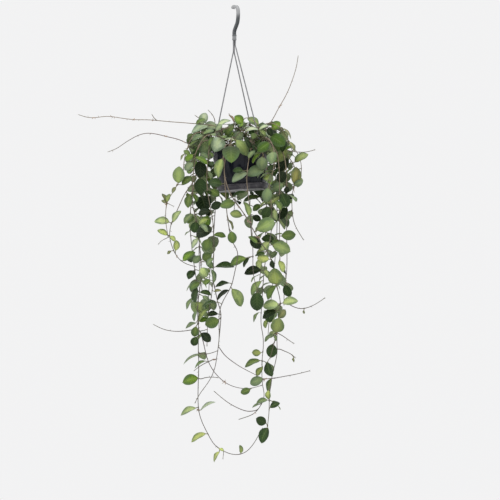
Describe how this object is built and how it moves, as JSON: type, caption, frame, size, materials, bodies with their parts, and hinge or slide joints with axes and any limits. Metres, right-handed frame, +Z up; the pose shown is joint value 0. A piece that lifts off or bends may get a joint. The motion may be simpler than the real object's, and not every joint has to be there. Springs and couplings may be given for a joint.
{
  "type": "potted trailing hoya in a hanging pot",
  "caption": "Trailing hoya plant with grey-green leaves and long bare runners, in a dark plastic hanging pot with saucer, hanger legs and hook.",
  "frame": {"origin": "the underside of the hook's arch, where it sits on the rail", "axes": "+Z up, +X to the right as the plant hangs in the picture, +Y away from the viewer"},
  "size_m": [0.6064, 0.2911, 1.1366],
  "materials": {
    "hook_plastic": "satin",
    "leg_plastic": "satin",
    "pot_plastic": "gloss",
    "saucer_plastic": "satin",
    "soil": "rough",
    "leaf": "semi-gloss"
  },
  "bodies": {
    "root": {"hook": "hook_plastic", "leg_left": "leg_plastic", "leg_back": "leg_plastic", "leg_front": "leg_plastic", "pot": "pot_plastic", "saucer": "saucer_plastic", "soil": "soil", "vine_outer_left": "leaf", "vine_runner_left": "leaf", "vine_left_loop": "leaf", "vine_left_long": "leaf", "vine_left_front": "leaf", "vine_middle": "leaf", "vine_right_long": "leaf", "vine_right_inner": "leaf", "vine_front": "leaf", "vine_right_short": "leaf", "vine_right_low": "leaf", "vine_outer_right": "leaf", "vine_runner_up": "leaf", "crown_left": "leaf", "crown_left_front": "leaf", "crown_front": "leaf", "crown_centre": "leaf", "crown_right": "leaf", "crown_right_front": "leaf", "crown_right_back": "leaf", "back_right": "leaf", "back_right_inner": "leaf", "back_middle_right": "leaf", "back_middle": "leaf", "back_left_inner": "leaf", "back_left": "leaf", "back_left_outer": "leaf", "crown_back": "leaf", "crown_back_left": "leaf"}
  },
  "joints": []
}
